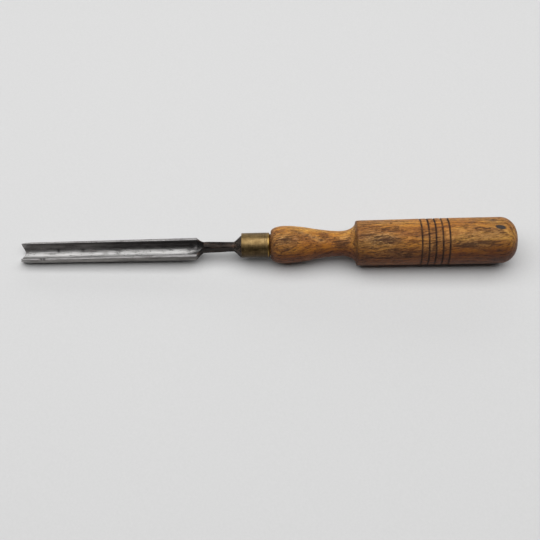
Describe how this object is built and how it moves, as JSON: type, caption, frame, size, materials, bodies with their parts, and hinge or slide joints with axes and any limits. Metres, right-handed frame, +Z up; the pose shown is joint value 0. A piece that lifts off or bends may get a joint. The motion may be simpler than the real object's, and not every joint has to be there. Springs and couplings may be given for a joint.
{
  "type": "carving gouge",
  "caption": "Straight carving gouge with a deep U channel blade, square shoulders, forged neck and bolster, a brass ferrule and a turned wooden handle with burnt rings.",
  "frame": {"origin": "centre of the ferrule's front mouth, where the bolster seats, on the handle's axis", "axes": "+X from the cutting edge towards the butt, +Z up out of the open side of the channel, +Y to the far side"},
  "size_m": [0.3001, 0.0282, 0.0282],
  "materials": {
    "steel": "forged and hand polished, bright along the floor of the channel, with dark patina, pits and brown rust on the neck",
    "brass": "worn and dulled, with fine scratches round the tube and a bright rear rim",
    "ash": "turned ash, oiled and darkened by use, with burnt rings and open pores"
  },
  "bodies": {
    "root": {"blade": "steel", "ferrule": "brass", "handle": "ash"}
  },
  "joints": []
}
